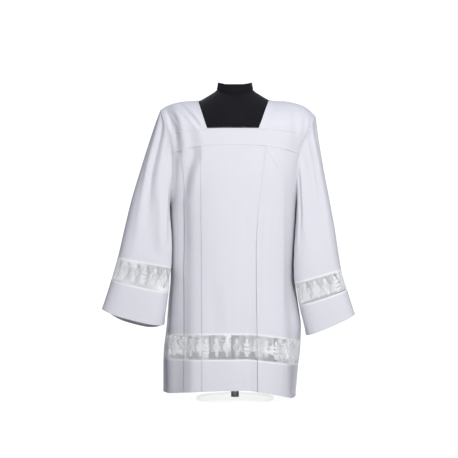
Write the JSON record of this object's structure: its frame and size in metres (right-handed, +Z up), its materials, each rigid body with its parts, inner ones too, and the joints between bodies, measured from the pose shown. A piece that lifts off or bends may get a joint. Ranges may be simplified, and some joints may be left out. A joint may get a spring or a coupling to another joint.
{
  "type": "surplice on dress form",
  "caption": "Knee-length pleated surplice with a square neck, wide sleeves and lace insertions, worn by a limbless dress form on a clear glass base.",
  "frame": {"origin": "centre of the underside of the dress form's base plate, on the floor", "axes": "+Z up, -Y towards the garment's front, +X towards the wearer's left sleeve, at the right of a front view"},
  "size_m": [0.8152, 0.2984, 1.03],
  "materials": {
    "surplice_cloth": "matte white plain weave with a cool cast",
    "lace": "white embroidered net",
    "form_jersey": "matte black knitted jersey",
    "pole_steel": "brushed steel tube",
    "base_glass": "clear tempered glass with a faint green edge"
  },
  "bodies": {
    "root": {"shoulder_left": "surplice_cloth", "shoulder_right": "surplice_cloth", "yoke_band_front": "surplice_cloth", "yoke_band_back": "surplice_cloth", "front_body": "surplice_cloth", "back_body": "surplice_cloth", "hem_border_front": "surplice_cloth", "hem_border_back": "surplice_cloth", "sleeve_left": "surplice_cloth", "sleeve_right": "surplice_cloth", "cuff_left": "surplice_cloth", "cuff_right": "surplice_cloth", "hem_lace_front": "lace", "hem_lace_back": "lace", "sleeve_lace_left": "lace", "sleeve_lace_right": "lace", "form_torso": "form_jersey", "form_collar": "form_jersey", "form_pole": "pole_steel", "form_base": "base_glass"}
  },
  "joints": []
}
